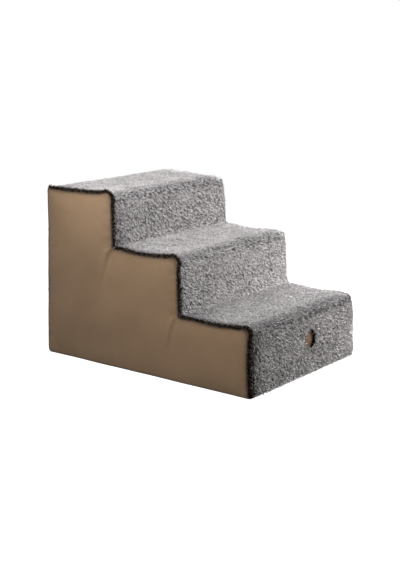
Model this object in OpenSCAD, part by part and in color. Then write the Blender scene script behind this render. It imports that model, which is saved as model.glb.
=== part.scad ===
// Three-step pet stairs: glued foam slabs inside a zip-off cover. The treads and risers are grey
// sherpa plush, the sides, back and base are taupe polyester, and a bare round badge sits in the
// pile of the lowest riser. Millimetres, +Z up, the steps rise towards +Y, and the origin is at
// the centre of the footprint on the floor.

/* [Steps] */
// Width across the treads
stair_w = 430; // [340:10:560]
// Height of the low tread above the floor
low_rise = 152; // [124:2:190]
// Height of the middle tread above the low one
middle_rise = 128; // [90:2:170]
// Height of the top tread above the middle one
top_rise = 120; // [90:2:170]
// Length from the low nosing to the middle one
low_run = 190; // [140:5:260]
// Length from the middle nosing to the top one
middle_run = 190; // [140:5:260]
// Length from the top nosing to the back
top_run = 195; // [140:5:280]
// How far the foot of each riser stands forward of its nosing
riser_rake = 7; // [0:1:12]
// How far the foot of the back stands behind its top edge
back_flare = 14; // [0:1:24]
// Radius of the nosings, over the pile
nosing_r = 14; // [12:1:24]
// Radius of the inner corners, where a tread's pile meets the next riser's
cove_r = 2; // [1:0.5:6]
// How far the low tread dips between its nosing and the riser behind
low_sag = 4; // [0:0.5:8]
// Dip of the middle tread
middle_sag = 5; // [0:0.5:8]
// Dip of the top tread
top_sag = 1.5; // [0:0.5:8]
// Radius of the soft corner where the back turns under the base
heel_r = 14; // [8:1:20]

/* [Cover] */
// Thickness of the plush, from the back of its knitted base to the tips of its pile
plush_t = 9; // [6:0.5:11]
// Thickness of the knitted base alone, under the pile
knit_t = 1; // [0.5:0.25:2]
// Thickness of the padded polyester of the sides, back and base
panel_t = 3; // [2:0.5:4]
// Width of the dark binding on the cut edge of the plush, measured across the stairs
binding_w = 4; // [3:0.5:6]
// Room that the cover leaves round the foam
fabric_ease = 0.3; // [0.2:0.1:0.6]

/* [Foam] */
// Thickness of the softer foam under each tread
comfort_t = 20; // [16:1:30]

/* [Grip dots] */
// Radius of a rubber dot
dot_r = 8; // [4:1:12]
// How far a dot stands below the base
dot_h = 1.5; // [1:0.25:3]
// Dots across the width
dot_columns = 5; // [3:2:9]
// Dots along the length
dot_rows = 7; // [3:2:11]
// Distance from the outline of the stairs to the outer dots' centres
dot_margin = 45; // [30:5:80]

/* [Badge] */
// Radius of the leather badge
badge_r = 17; // [14:0.5:24]
// Thickness of the leather
badge_t = 1.4; // [0.8:0.2:2.4]
// How far the felt behind the badge shows round it
felt_margin = 2; // [1:0.5:3]
// Thickness of the felt
felt_t = 0.8; // [0.4:0.2:1.4]
// Distance of the badge from the middle of the riser
badge_x = 22; // [-60:2:60]
// Height of the badge's centre above the floor
badge_z = 80; // [60:2:84]

/* [Zip] */
// Height of the zip above the floor
zip_z = 80; // [60:2:90]
// Distance from each end of the slot that the zip closes to the side of the stairs
zip_margin = 35; // [30:5:80]
// Height of that slot
zip_slot_h = 13; // [11:0.5:18]
// Width of each woven tape
tape_w = 15; // [12:1:20]
// Thickness of the tape
tape_t = 0.8; // [0.6:0.1:1.2]
// Distance from one tooth to the next in a row
tooth_pitch = 3; // [2:0.25:4]
// How far a row of teeth stands in from the edge of its tape
tooth_reach = 2.4; // [2:0.1:2.8]
// Thickness of the teeth
tooth_t = 2; // [1.5:0.1:2.2]
// Length of the slider
slider_l = 12; // [10:0.5:16]
// Length of the pull from its hinge
pull_l = 26; // [20:1:34]
// Width of the pull
pull_w = 7; // [6:0.5:9]

/* [Care label] */
// Length of the bare label at the back
label_l = 34; // [25:1:50]
// Height of the label
label_h = 22; // [15:1:30]

/* [Hidden] */
$fn = 48;

// One overrun takes every cut clear of the faces that it goes through
over = 1;
// Straight pieces in a quarter turn of a nosing or of the heel, in half the turn of an inner
// corner, and along the dip of a tread
turn_steps = 8;
cove_steps = 3;
sag_steps = 10;

rises = [low_rise, middle_rise, top_rise];
runs = [low_run, middle_run, top_run];
sags = [low_sag, middle_sag, top_sag];
low = 0;
middle = low + 1;
top = middle + 1;
stair_l = riser_rake + low_run + middle_run + top_run + back_flare;
stair_h = low_rise + middle_rise + top_rise;

// The cover starts above the grip dots, and the foam starts above the base panel
cover_z = dot_h;
foam_z = cover_z + panel_t + fabric_ease;
pile_t = plush_t - knit_t;

// Depths below the outer surface: the seam line under the plush, and the foam behind it
foam_depth = plush_t + fabric_ease;
foam_back_depth = panel_t + fabric_ease;
foam_w = stair_w - 2 * (panel_t + fabric_ease);
panel_w = stair_w - 2 * panel_t;

// Level of a tread above the floor, and place of its nosing along the stairs
function tread_z(i) = i < low ? 0 : tread_z(i - 1) + rises[i];
function nose_y(i) = i == low ? riser_rake - stair_l / 2 : nose_y(i - 1) + runs[i - 1];

// Slopes of the risers and of the back: how far each leans for its height
function riser_slope(i) = riser_rake / rises[i];
back_slope = back_flare / stair_h;
function slant(slope) = sqrt(1 + slope * slope);

// Places on a riser and on the back at a height, some depth below the surface
function riser_y(i, z, depth) =
    nose_y(i) + (z - tread_z(i)) * riser_slope(i) + depth * slant(riser_slope(i));
back_top_y = nose_y(top) + top_run;
function back_y(z, depth) =
    back_top_y + (stair_h - z) * back_slope - depth * slant(back_slope);

// Points of an arc from one angle to another
function arc(centre, r, from, to, steps) =
    [for (k = [0:steps]) let (a = from + (to - from) * k / steps)
        centre + r * [cos(a), sin(a)]];

// The nosing of a step and the heel at the foot of the back, some depth below the surface
function nosing_centre(i) =
    let (z = tread_z(i) - nosing_r) [riser_y(i, z, nosing_r), z];
function nosing(i, depth) =
    arc(nosing_centre(i), nosing_r - depth, 180 - atan(riser_slope(i)), 90, turn_steps);
function heel(depth) =
    let (z = cover_z + heel_r)
    arc([back_y(z, heel_r), z], heel_r - depth, atan(back_slope), -90, turn_steps);

// The inner corner under riser i, rounded about a line in the air above the tread. Its lower half
// belongs to the tread and its upper half to the riser, and the plush is seamed where they meet.
function cove_centre(i) =
    let (z = tread_z(i - 1) + cove_r) [riser_y(i, z, -cove_r), z];
function cove_middle(i) = -45 - atan(riser_slope(i)) / 2;
function cove_below(i, depth) =
    arc(cove_centre(i), cove_r + depth, -90, cove_middle(i), cove_steps);
function cove_above(i, depth) =
    arc(cove_centre(i), cove_r + depth, cove_middle(i), -atan(riser_slope(i)), cove_steps);

// The dip of a tread: level at the nosing and at the far end, deepest half way
function tread_far_y(i) = i < top ? cove_centre(i + 1)[0] : back_top_y;
function tread_points(i, depth) =
    let (from = nosing_centre(i)[0], to = tread_far_y(i))
    [for (k = [1:sag_steps - 1]) let (share = k / sag_steps)
        [from + (to - from) * share,
         tread_z(i) - depth - sags[i] * (1 - cos(360 * share)) / 2]];

// One step's line at some depth, from the foot of its riser to the far end of its tread
function riser_start(i, depth) =
    i == low ? [[riser_y(low, cover_z, depth), cover_z]] : cove_above(i, depth);
function tread_end(i, depth) =
    i < top ? cove_below(i + 1, depth)
            : [[back_y(stair_h - depth, 0), stair_h - depth]];
function step_line(i, depth) =
    concat(riser_start(i, depth), nosing(i, depth), tread_points(i, depth), tread_end(i, depth));
function without_last(points) = [for (k = [0:len(points) - 2]) points[k]];
function flight(depth) =
    concat(without_last(step_line(low, depth)), without_last(step_line(middle, depth)),
           step_line(top, depth));
function reversed(points) = [for (k = [len(points) - 1:-1:0]) points[k]];

// An outline in length and height, given a width across the stairs
module across(w) rotate([90, 0, 90]) linear_extrude(w, center = true) children();
module across_from(x, w) translate([x, 0, 0]) rotate([90, 0, 90]) linear_extrude(w) children();

// Puts a piece on the back: x to the right as seen from behind, y up the back, z out of it
module on_back(z) {
    translate([0, back_y(z, 0), z]) rotate([90 - atan(back_slope), 0, 180]) children();
}
// Puts a piece on a riser: x along it, y up it, z out of it
module on_riser(i, x, z) {
    translate([x, riser_y(i, z, 0), z]) rotate([90 - atan(riser_slope(i)), 0, 0]) children();
}

// Foam: the underside of each soft tread layer is the top of the slab that carries it
function foam_top_z(i) = tread_z(i) - foam_depth;
function slab_top_z(i) = foam_top_z(i) - comfort_t;

// The slabs are pressed in along the zip, where its chain lies behind the cover
module zip_hollow() {
    on_back(zip_z) translate([-stair_w / 2, -chain_h / 2, -chain_depth])
        cube([stair_w, chain_h, chain_depth]);
}
module foam_slab(i) {
    bottom_z = slab_top_z(i - 1);
    top_z = slab_top_z(i);
    color("#e9dfb6") difference() {
        across(foam_w) polygon([
            [riser_y(i, bottom_z, foam_depth), bottom_z],
            [riser_y(i, top_z, foam_depth), top_z],
            [back_y(top_z, foam_back_depth), top_z],
            [back_y(bottom_z, foam_back_depth), bottom_z]
        ]);
        zip_hollow();
    }
}
module foam_base_slab() {
    top_z = slab_top_z(low);
    color("#e9dfb6") difference() {
        across(foam_w) polygon(concat(
            [[riser_y(low, foam_z, foam_depth), foam_z],
             [riser_y(low, top_z, foam_depth), top_z],
             [back_y(top_z, foam_back_depth), top_z]],
            heel(foam_back_depth)
        ));
        zip_hollow();
    }
}
module foam_middle_slab() foam_slab(middle);
module foam_top_slab() foam_slab(top);

// A softer layer: its front follows the nosing, its top follows the dip of the tread, and its
// back meets the next slab or the back panel
module comfort_pad(i) {
    bottom_z = slab_top_z(i);
    top_z = foam_top_z(i);
    function rear_y(z) = i < top ? riser_y(i + 1, z, foam_depth) : back_y(z, foam_back_depth);
    across(foam_w) polygon(concat(
        [[riser_y(i, bottom_z, foam_depth), bottom_z]],
        nosing(i, foam_depth), tread_points(i, foam_depth),
        [[rear_y(top_z), top_z], [rear_y(bottom_z), bottom_z]]
    ));
}
module comfort_pad_low() color("#d7e4ea") comfort_pad(low);
module comfort_pad_middle() color("#d7e4ea") comfort_pad(middle);
module comfort_pad_top() color("#d7e4ea") comfort_pad(top);

// Plush: one panel covers a riser and its tread, and is sewn to the next in the inner corner
module plush_panel(i) {
    across(stair_w - 2 * binding_w)
        polygon(concat(step_line(i, 0), reversed(step_line(i, plush_t))));
}
module plush_panel_low() {
    color("#a2a0a0") difference() {
        plush_panel(low);
        on_riser(low, badge_x, badge_z) translate([0, 0, -pile_t])
            cylinder(r = badge_r + felt_margin + pile_clearance, h = pile_t + over);
    }
}
module plush_panel_middle() color("#a2a0a0") plush_panel(middle);
module plush_panel_top() color("#a2a0a0") plush_panel(top);

// Dark binding along the cut edge of the plush, from the floor up and over the whole flight
module edge_binding(x) {
    color("#2c2119") across_from(x, binding_w)
        polygon(concat(flight(0), reversed(flight(plush_t))));
}
module edge_binding_left() edge_binding(-stair_w / 2);
module edge_binding_right() edge_binding(stair_w / 2 - binding_w);

// Taupe sides, cut to the stair's profile below the plush
module side_panel(x) {
    color("#927b65") across_from(x, panel_t)
        polygon(concat(flight(plush_t), heel(0)));
}
module side_panel_left() side_panel(-stair_w / 2);
module side_panel_right() side_panel(stair_w / 2 - panel_t);

// The two halves of the back meet at the zip. The upper one ends just under the plush, and the
// lower one turns under at the heel.
module zip_slot() {
    on_back(zip_z) translate([-zip_slot_l / 2, -zip_slot_h / 2, -panel_t - over])
        cube([zip_slot_l, zip_slot_h, panel_t + 2 * over]);
}
module back_panel_upper() {
    top_z = stair_h - plush_t - fabric_ease;
    color("#8a7460") difference() {
        across(panel_w) polygon([
            [back_y(zip_z, 0), zip_z], [back_y(top_z, 0), top_z],
            [back_y(top_z, panel_t), top_z], [back_y(zip_z, panel_t), zip_z]
        ]);
        zip_slot();
    }
}
module back_panel_lower() {
    color("#8a7460") difference() {
        across(panel_w) polygon(concat(
            [[back_y(zip_z, 0), zip_z]], heel(0),
            reversed(heel(panel_t)), [[back_y(zip_z, panel_t), zip_z]]
        ));
        zip_slot();
    }
}

// Base: a sheet between the front panel and the heel, with grip dots moulded on its underside
heel_start_y = back_y(cover_z + heel_r, heel_r);
module base_panel() {
    top_z = cover_z + panel_t;
    color("#4a4440") across(panel_w) polygon([
        [riser_y(low, cover_z, plush_t), cover_z], [riser_y(low, top_z, plush_t), top_z],
        [heel_start_y, top_z], [heel_start_y, cover_z]
    ]);
}
module grip_dots() {
    step_x = (stair_w - 2 * dot_margin) / (dot_columns - 1);
    step_y = (stair_l - 2 * dot_margin) / (dot_rows - 1);
    color("#23211f")
        for (column = [0:dot_columns - 1], row = [0:dot_rows - 1])
            translate([dot_margin - stair_w / 2 + column * step_x,
                       dot_margin - stair_l / 2 + row * step_y, 0])
                cylinder(r = dot_r, h = dot_h);
}

// Badge: leather over felt, sewn to the knitted base of the plush at the bottom of the pile
pile_clearance = 0.5;
stitch_count = 24;
stitch_l = 2.6;
stitch_w = 0.9;
stitch_t = 0.4;
stitch_inset = 2.2;
felt_seat_z = -pile_t;
leather_seat_z = felt_seat_z + felt_t;
stitch_seat_z = leather_seat_z + badge_t;
module badge_felt() {
    color("#cbbfae") on_riser(low, badge_x, badge_z) translate([0, 0, felt_seat_z])
        cylinder(r = badge_r + felt_margin, h = felt_t);
}
module badge_leather() {
    color("#7c6248") on_riser(low, badge_x, badge_z) translate([0, 0, leather_seat_z])
        cylinder(r = badge_r, h = badge_t);
}
module badge_stitches() {
    color("#5a4634") on_riser(low, badge_x, badge_z) for (k = [0:stitch_count - 1])
        rotate([0, 0, k * 360 / stitch_count])
            translate([badge_r - stitch_inset - stitch_w, -stitch_l / 2, stitch_seat_z])
                cube([stitch_w, stitch_l, stitch_t]);
}

// Zip: heights are measured outwards from the face of the back. The teeth stop just short of the
// middle, so that the slider's thin post passes between the rows.
zip_gap = 1.2;
run_gap = 0.25;
plate_t = 1.3;
flange_t = 1.2;
post_t = 0.6;
post_l = 3;
end_tab_l = 8;
end_tab_t = 1.6;
stop_l = 2.5;
tape_z = -panel_t - tape_t;
tooth_z = -panel_t;
plate_z = tooth_z + tooth_t + run_gap;
under_z = tape_z - run_gap - plate_t;
chain_h = 2 * (tape_w + over);
chain_depth = fabric_ease - under_z;
zip_slot_l = stair_w - 2 * zip_margin;
tape_l = zip_slot_l + 2 * tape_w;
chain_l = zip_slot_l - 2 * end_tab_l;
tooth_run = chain_l - 2 * stop_l;
tooth_root = zip_gap / 2 + tooth_reach;
slider_w = 2 * (tooth_root + run_gap + flange_t);

module zip_tape(side) {
    color("#6b5a4a") on_back(zip_z)
        translate([-tape_l / 2, side > 0 ? zip_gap / 2 : -tape_w, tape_z])
            cube([tape_l, tape_w - zip_gap / 2, tape_t]);
}
module zip_tape_upper() zip_tape(1);
module zip_tape_lower() zip_tape(-1);

// A row of teeth: a bead on the tape with a tapered tooth at every pitch. The lower row is half a
// pitch further on, so that its teeth face the gaps of the upper row.
bead_share = 0.42;
root_share = 0.35;
tip_share = 0.2;
module zip_teeth(side) {
    shift = side > 0 ? 0 : tooth_pitch / 2;
    count = floor((tooth_run - shift) / tooth_pitch);
    bead = tooth_root - bead_share * tooth_reach;
    tip = zip_gap / 2;
    teeth = [for (k = [0:count - 1])
        let (x = -tooth_run / 2 + shift + (k + 1 / 2) * tooth_pitch)
        each [[x - root_share * tooth_pitch, bead], [x - tip_share * tooth_pitch, tip],
              [x + tip_share * tooth_pitch, tip], [x + root_share * tooth_pitch, bead]]];
    color("#6a5846") on_back(zip_z) translate([0, 0, tooth_z]) scale([1, side, 1])
        linear_extrude(tooth_t) polygon(concat(
            [[-tooth_run / 2, tooth_root], [-tooth_run / 2, bead]], teeth,
            [[tooth_run / 2, bead], [tooth_run / 2, tooth_root]]
        ));
}
module zip_teeth_upper() zip_teeth(1);
module zip_teeth_lower() zip_teeth(-1);

// Stops: one clamp on each tape where the zip is closed, one across both where it is open
module zip_top_stops() {
    color("#8d8a84") on_back(zip_z) for (side = [-1, 1])
        translate([-chain_l / 2, side > 0 ? zip_gap / 2 : -tooth_root, tooth_z])
            cube([stop_l, tooth_reach, tooth_t]);
}
module zip_bottom_stop() {
    color("#8d8a84") on_back(zip_z)
        translate([chain_l / 2 - stop_l, -tooth_root, tooth_z])
            cube([stop_l, 2 * tooth_root, tooth_t]);
}
module zip_end_tabs() {
    color("#84705c") on_back(zip_z) for (side = [-1, 1])
        translate([side > 0 ? chain_l / 2 : -zip_slot_l / 2, -zip_slot_h / 2, tooth_z])
            cube([end_tab_l, zip_slot_h, end_tab_t]);
}

// Slider: a plate over the teeth with a flange down each side, a plate under the tapes, the post
// that joins them, and the crown that holds the pull
slider_x = -chain_l / 2 + stop_l + run_gap + slider_l / 2;
eye_r = 0.7;
hinge_gap = 0.25;
crown_w = 2.4;
crown_l = 8.4;
crown_t = 1.1;
crown_slope = 1.2;
plate_top_z = plate_z + plate_t;
hinge_z = max(plate_top_z, 0) + hinge_gap + eye_r;
crown_in_h = hinge_z + eye_r + hinge_gap - plate_top_z;
module zip_slider() {
    in_l = crown_l / 2 - crown_t;
    color("#b9b5ac") on_back(zip_z) translate([slider_x, 0, 0]) {
        translate([-slider_l / 2, -slider_w / 2, plate_z]) cube([slider_l, slider_w, plate_t]);
        for (side = [-1, 1])
            translate([-slider_l / 2, side > 0 ? slider_w / 2 - flange_t : -slider_w / 2,
                       tooth_z + run_gap])
                cube([slider_l, flange_t, plate_z - tooth_z - run_gap + plate_t / 2]);
        translate([-slider_l / 2, -slider_w / 2, under_z]) cube([slider_l, slider_w, plate_t]);
        translate([-slider_l / 2, -post_t / 2, under_z])
            cube([post_l, post_t, plate_z - under_z + plate_t / 2]);
        translate([0, crown_w / 2, plate_top_z]) rotate([90, 0, 0])
            linear_extrude(crown_w) polygon([
                [-crown_l / 2, 0], [crown_slope - crown_l / 2, crown_in_h + crown_t],
                [crown_l / 2 - crown_slope, crown_in_h + crown_t], [crown_l / 2, 0],
                [in_l, 0], [in_l - crown_slope / 2, crown_in_h],
                [crown_slope / 2 - in_l, crown_in_h], [-in_l, 0]
            ]);
    }
}

// Pull: a flat tab with an eye, whose bar turns under the crown
eye_clearance = 0.4;
eye_l = 5.2;
pull_hole_r = 1.6;
module zip_pull() {
    eye_w = crown_w + 2 * eye_clearance;
    end_r = pull_w / 2;
    color("#b9b5ac") on_back(zip_z) translate([slider_x, 0, hinge_z]) {
        rotate([90, 0, 0]) cylinder(r = eye_r, h = pull_w, center = true);
        difference() {
            translate([0, 0, -eye_r]) union() {
                translate([0, -end_r, 0]) cube([pull_l - end_r, pull_w, 2 * eye_r]);
                translate([pull_l - end_r, 0, 0]) cylinder(r = end_r, h = 2 * eye_r);
            }
            translate([-over, -eye_w / 2, -eye_r - over])
                cube([eye_l + over, eye_w, 2 * (eye_r + over)]);
            translate([pull_l - end_r, 0, -eye_r - over])
                cylinder(r = pull_hole_r, h = 2 * (eye_r + over));
        }
    }
}

// Care label: bare satin, one end caught in the seam at the right-hand side of the back
label_t = 0.5;
label_z = 24;
module care_label() {
    color("#ece8e0") on_back(label_z)
        translate([panel_w / 2 - label_l, 0, 0]) cube([label_l, label_h, label_t]);
}

foam_base_slab();
foam_middle_slab();
foam_top_slab();
comfort_pad_low();
comfort_pad_middle();
comfort_pad_top();
plush_panel_low();
plush_panel_middle();
plush_panel_top();
edge_binding_left();
edge_binding_right();
side_panel_left();
side_panel_right();
back_panel_upper();
back_panel_lower();
base_panel();
grip_dots();
badge_felt();
badge_leather();
badge_stitches();
zip_tape_upper();
zip_tape_lower();
zip_teeth_upper();
zip_teeth_lower();
zip_top_stops();
zip_bottom_stop();
zip_end_tabs();
zip_slider();
zip_pull();
care_label();
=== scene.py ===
import math

import bmesh
import bpy
import numpy as np
from mathutils import Matrix, Vector, noise
from mathutils.kdtree import KDTree


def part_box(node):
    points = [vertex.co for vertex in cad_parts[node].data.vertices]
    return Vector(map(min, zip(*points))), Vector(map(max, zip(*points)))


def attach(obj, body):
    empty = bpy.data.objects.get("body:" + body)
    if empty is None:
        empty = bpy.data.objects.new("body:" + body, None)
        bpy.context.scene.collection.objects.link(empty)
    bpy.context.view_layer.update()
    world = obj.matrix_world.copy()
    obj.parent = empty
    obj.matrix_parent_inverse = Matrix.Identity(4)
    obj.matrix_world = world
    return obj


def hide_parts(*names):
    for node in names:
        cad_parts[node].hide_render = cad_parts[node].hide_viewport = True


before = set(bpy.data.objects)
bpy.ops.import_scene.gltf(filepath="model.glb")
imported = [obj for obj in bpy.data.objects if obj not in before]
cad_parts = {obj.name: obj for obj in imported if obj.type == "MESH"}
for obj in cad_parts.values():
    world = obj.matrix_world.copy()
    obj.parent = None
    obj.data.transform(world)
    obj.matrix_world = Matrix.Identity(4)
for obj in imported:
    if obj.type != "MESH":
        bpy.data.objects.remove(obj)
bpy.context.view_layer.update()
scene = bpy.context.scene
mm = 0.001

# The foam core: three blocks of cream polyurethane foam, each with a softer blue-grey layer glued on top as
# the tread. All six are knife-cut, so their edges are only a little worn and their cells lie open.
foam_cell = 1.4 * mm
foam_worn_edge = 2.5 * mm
# The cells' colours are painted shade in the foam's open pits.
cream_foam = "#e6dcb8"
cream_foam_cell_shade = "#c9bd94"
tread_foam = "#cfdde4"
tread_foam_cell_shade = "#a9bac4"
weld = 0.01 * mm
flat_angle = math.radians(0.2)
sharp_angle = math.radians(50)


def linear(colour):
    """The linear value of an sRGB hex colour."""
    parts = [int(colour[k:k + 2], 16) / 255 for k in (1, 3, 5)]
    return [p / 12.92 if p <= 0.04045 else ((p + 0.055) / 1.055) ** 2.4 for p in parts]


def feed(finish, node, inputs):
    """Gives a node its inputs, which are values or the outputs of other nodes."""
    for name, value in inputs.items():
        if isinstance(value, bpy.types.NodeSocket):
            finish.node_tree.links.new(value, node.inputs[name])
        else:
            node.inputs[name].default_value = value


def on_surface(finish, inputs):
    """Sets inputs of a finish's surface."""
    feed(finish, finish.node_tree.nodes["Principled BSDF"], inputs)


def new_finish(name, levels):
    """A new finish whose surface has these levels."""
    finish = bpy.data.materials.new(name)
    finish.use_nodes = True
    on_surface(finish, levels)
    return finish


def add(finish, kind, inputs=(), **settings):
    """Adds one node to a finish."""
    made = finish.node_tree.nodes.new("ShaderNode" + kind)
    for name, value in settings.items():
        setattr(made, name, value)
    feed(finish, made, dict(inputs))
    return made


def pattern(finish, kind, scale, output="Fac", inputs=(), **settings):
    """One output of a texture that covers a finish."""
    inputs = {"Vector": add(finish, "TexCoord").outputs["Object"], "Scale": scale, **dict(inputs)}
    return add(finish, kind, inputs, **settings).outputs[output]


def cloudy(finish, size, detail):
    """Noise that covers a finish, its clouds of some size."""
    return pattern(finish, "TexNoise", 1 / size, inputs={"Detail": detail})


def tint(finish, value, stops):
    """Turns a value into a colour, by stops that each pair a value with its colour."""
    ramp = add(finish, "ValToRGB", {"Fac": value})
    dots = ramp.color_ramp.elements
    for k, (place, colour) in enumerate(stops):
        dot = dots[k] if k < 2 else dots.new(place)
        dot.position = place
        dot.color = (*linear(colour), 1)
    return ramp.outputs["Color"]


def lay_on(finish, colour, height, depth):
    """Gives a finish its colour, and a relief of some depth."""
    relief = add(finish, "Bump", {"Height": height, "Distance": depth})
    on_surface(finish, {"Base Color": colour, "Normal": relief.outputs["Normal"]})
    return finish


def patterned_finish(name, levels, stops, depth, *texture, **settings):
    """A finish whose one pattern gives it both its colours and its relief."""
    finish = new_finish(name, levels)
    height = pattern(finish, *texture, **settings)
    return lay_on(finish, tint(finish, height, stops), height, depth)


def cut_foam_finish(name, body, cells):
    """Knife-cut foam: matt, with round open cells whose pits are painted darker, as the shade in them."""
    return patterned_finish(name, {"Roughness": 0.95}, [(0.1, cells), (0.6, body)], foam_cell / 2,
                            "TexVoronoi", 1 / foam_cell, "Distance")


def cut_up(skin, pitch):
    """Cuts a skin into squares of about one pitch."""
    for axis in range(3):
        ends = [vert.co[axis] for vert in skin.verts]
        low, high = min(ends), max(ends)
        count = round((high - low) / pitch)
        for k in range(1, count):
            place = Vector()
            place[axis] = low + (high - low) * k / count
            square_to = Vector()
            square_to[axis] = 1
            everything = [*skin.verts, *skin.edges, *skin.faces]
            bmesh.ops.bisect_plane(skin, geom=everything, dist=pitch / 8, plane_co=place, plane_no=square_to)
    skin.normal_update()


def skin_of(node, keeps=lambda face: True, pitch=None):
    """The flat faces of a CAD solid that keeps wants, cut up into squares if a pitch is given."""
    skin = bmesh.new()
    skin.from_mesh(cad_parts[node].data)
    bmesh.ops.remove_doubles(skin, verts=skin.verts, dist=weld)
    bmesh.ops.dissolve_limit(skin, angle_limit=flat_angle, verts=skin.verts, edges=skin.edges)
    skin.normal_update()
    left_out = [face for face in skin.faces if not keeps(face)]
    bmesh.ops.delete(skin, geom=left_out, context="FACES")
    if pitch:
        cut_up(skin, pitch)
    return skin


def soften_edges(shape, width, segments):
    """Rounds the sharp edges of a shape."""
    arrises = [edge for edge in shape.edges if edge.calc_face_angle(0) > sharp_angle]
    bmesh.ops.bevel(shape, geom=arrises, offset=width, segments=segments, profile=0.5, affect="EDGES",
                    clamp_overlap=True, material=-1)


def object_of(mesh, name, finish):
    """A smooth object that wears a finish and rides with the stairs."""
    mesh.materials.append(finish)
    mesh.polygons.foreach_set("use_smooth", [True] * len(mesh.polygons))
    piece = bpy.data.objects.new(name, mesh)
    scene.collection.objects.link(piece)
    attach(piece, "stairs")
    return piece


def piece_of(shape, name, finish, replaces=()):
    """An object of a shape that stands for CAD nodes."""
    mesh = bpy.data.meshes.new(name)
    shape.to_mesh(mesh)
    shape.free()
    piece = object_of(mesh, name, finish)
    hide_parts(*replaces)
    return piece


foam_finish = cut_foam_finish("cream_cut_foam", cream_foam, cream_foam_cell_shade)
tread_foam_finish = cut_foam_finish("blue_grey_cut_foam", tread_foam, tread_foam_cell_shade)
foam_layers = {
    "foam_firm": (foam_finish, ["foam_base_slab", "foam_middle_slab", "foam_top_slab"]),
    "foam_soft": (tread_foam_finish, ["comfort_pad_low", "comfort_pad_middle", "comfort_pad_top"]),
}
for slot, (finish, nodes) in foam_layers.items():
    for node in nodes:
        block = skin_of(node)
        soften_edges(block, foam_worn_edge, 2)
        foam = piece_of(block, "cut_" + node, finish, [node])
        foam.data.polygons.foreach_set("use_smooth", [False] * len(foam.data.polygons))

# The seam line: where the plush is sewn to the taupe sides. It is the edge of the CAD's side, starts at the
# floor in front and climbs to the back, and the cover's pieces are laid out along it.
seam_pitch = 3 * mm
corner_slope = math.radians(45)
squarely = 0.9
left_side = skin_of("side_panel_left", lambda face: face.normal.x < -squarely)
left_side.faces.ensure_lookup_table()
outline = [vert.co.yz for vert in left_side.faces[0].verts]
left_side.free()
foot = min(range(len(outline)), key=lambda k: sum(outline[k]))
outline = outline[foot:] + outline[:foot]
if outline[1].y < outline[-1].y:
    outline = outline[:1] + outline[:0:-1]
crest = max(range(len(outline)), key=lambda k: sum(outline[k]))
edge = np.array(outline[:crest + 1])
edge_along = np.concatenate([[0], np.cumsum(np.hypot(*np.diff(edge, axis=0).T))])
stations = np.linspace(0, edge_along[-1], round(edge_along[-1] / seam_pitch) + 1)
seam = np.stack([np.interp(stations, edge_along, edge[:, k]) for k in (0, 1)], 1)
heading = np.gradient(seam, axis=0)
heading /= np.hypot(*heading.T)[:, None]
outward = np.stack([-heading[:, 1], heading[:, 0]], 1)
slope = np.arctan2(heading[:, 1], heading[:, 0])
turns_up = (slope[:-1] < corner_slope) & (slope[1:] >= corner_slope)
turns_over = (slope[:-1] >= corner_slope) & (slope[1:] < corner_slope)
inner_corners = stations[1:][turns_up]
nosings = stations[1:][turns_over]
stair_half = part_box("edge_binding_right")[1].x
knit_flat_half = stair_half - 10 * mm
nosing_reach = 17 * mm
end_reach = 48 * mm
foot_round = 17 * mm
right_fullness = 1.01
draw_squareness = 2.5
cover_draws = {
    "left": (
        (0, 0, -3.5 * mm, 10 * mm), (0, -100 * mm, 6 * mm, 80 * mm),
        (1, 0, -4 * mm, 10 * mm),
        (2, 0, -3 * mm, 10 * mm), (2, -40 * mm, -4.5 * mm, 60 * mm),
    ),
    "right": (
        (0, 0, 4.5 * mm, nosing_reach),
        (1, 0, 4 * mm, nosing_reach), (1, -55 * mm, 3.5 * mm, 55 * mm),
        (2, 0, 5 * mm, nosing_reach), (2, 40 * mm, 5 * mm, 50 * mm),
    ),
}


def tree_of(places):
    """A tree that finds the nearest of some places."""
    tree = KDTree(len(places))
    for k, place in enumerate(places):
        tree.insert(place, k)
    tree.balance()
    return tree


seam_tree = tree_of([(0, y, z) for y, z in seam])


def drawn_in(x, along):
    """How far the cover is drawn in at the ends of the steps, which are rounder on the right than the
    steps' middles, and sharper on the left."""
    near_end = min(1, max(0, 1 - (knit_flat_half - abs(x)) / end_reach))
    drawn = 0
    for k, shift, draw, reach in cover_draws["left" if x < 0 else "right"]:
        drawn += draw * math.exp(-(abs(along - nosings[k] - shift) / reach) ** draw_squareness)
    return near_end ** 2 * drawn


def near_seam(place):
    """The way up the seam line that is nearest to a place, how far off it is, and the way out there."""
    _, k, off = seam_tree.find((0, place.y, place.z))
    return stations[k], off, Vector((0, *outward[k]))


def on_steps(x, along, lift):
    """The place at x, some way up the seam line and a height over it. The foot's right corner is round."""
    lift -= drawn_in(x, along)
    if x > 0:
        x *= right_fullness
        from_foot = max(0, 1 - along / foot_round)
        x -= from_foot ** 2 * max(0, x - stair_half + foot_round)
    y, z = (np.interp(along, stations, seam[:, k]) + lift * np.interp(along, stations, outward[:, k])
            for k in (0, 1))
    return Vector((x, y, z))


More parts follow.
